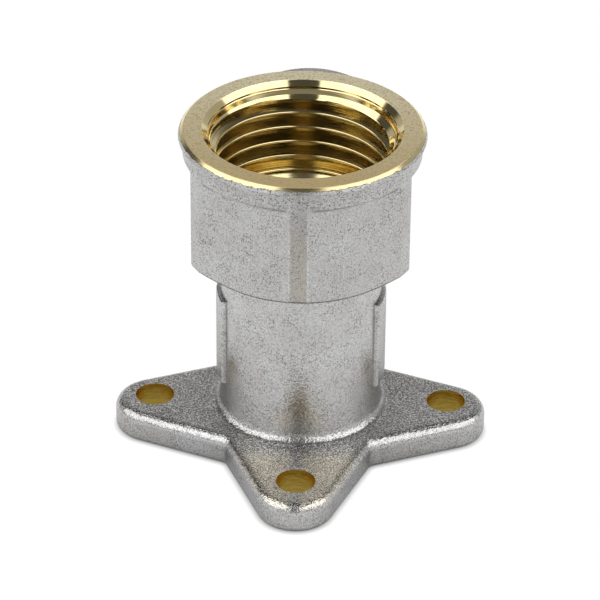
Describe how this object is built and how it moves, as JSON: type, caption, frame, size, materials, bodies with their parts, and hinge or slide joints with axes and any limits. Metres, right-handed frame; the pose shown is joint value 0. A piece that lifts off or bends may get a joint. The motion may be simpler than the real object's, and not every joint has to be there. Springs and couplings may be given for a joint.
{
  "type": "wall plate elbow",
  "caption": "Nickel-plated brass wall plate elbow: a female threaded hexagon socket on a lobed screw plate, turning at right angles into a round female threaded socket at the rear.",
  "frame": {"origin": "On the axis of the neck and the top socket, in the plane of the plate's wall side.", "axes": "+Z is the top socket's axis, out of its mouth and away from the wall. +Y is the way the rear socket opens. The plate's side lobes lie along +X and -X, and its front lobe along -Y."},
  "size_m": [0.0418, 0.0599, 0.0385],
  "materials": {
    "nickel_plated_brass": "shot-blasted satin nickel plate, with bare bright brass on the turned rims, threads and drilled holes"
  },
  "bodies": {
    "root": {"elbow_body": "nickel_plated_brass"}
  },
  "joints": []
}
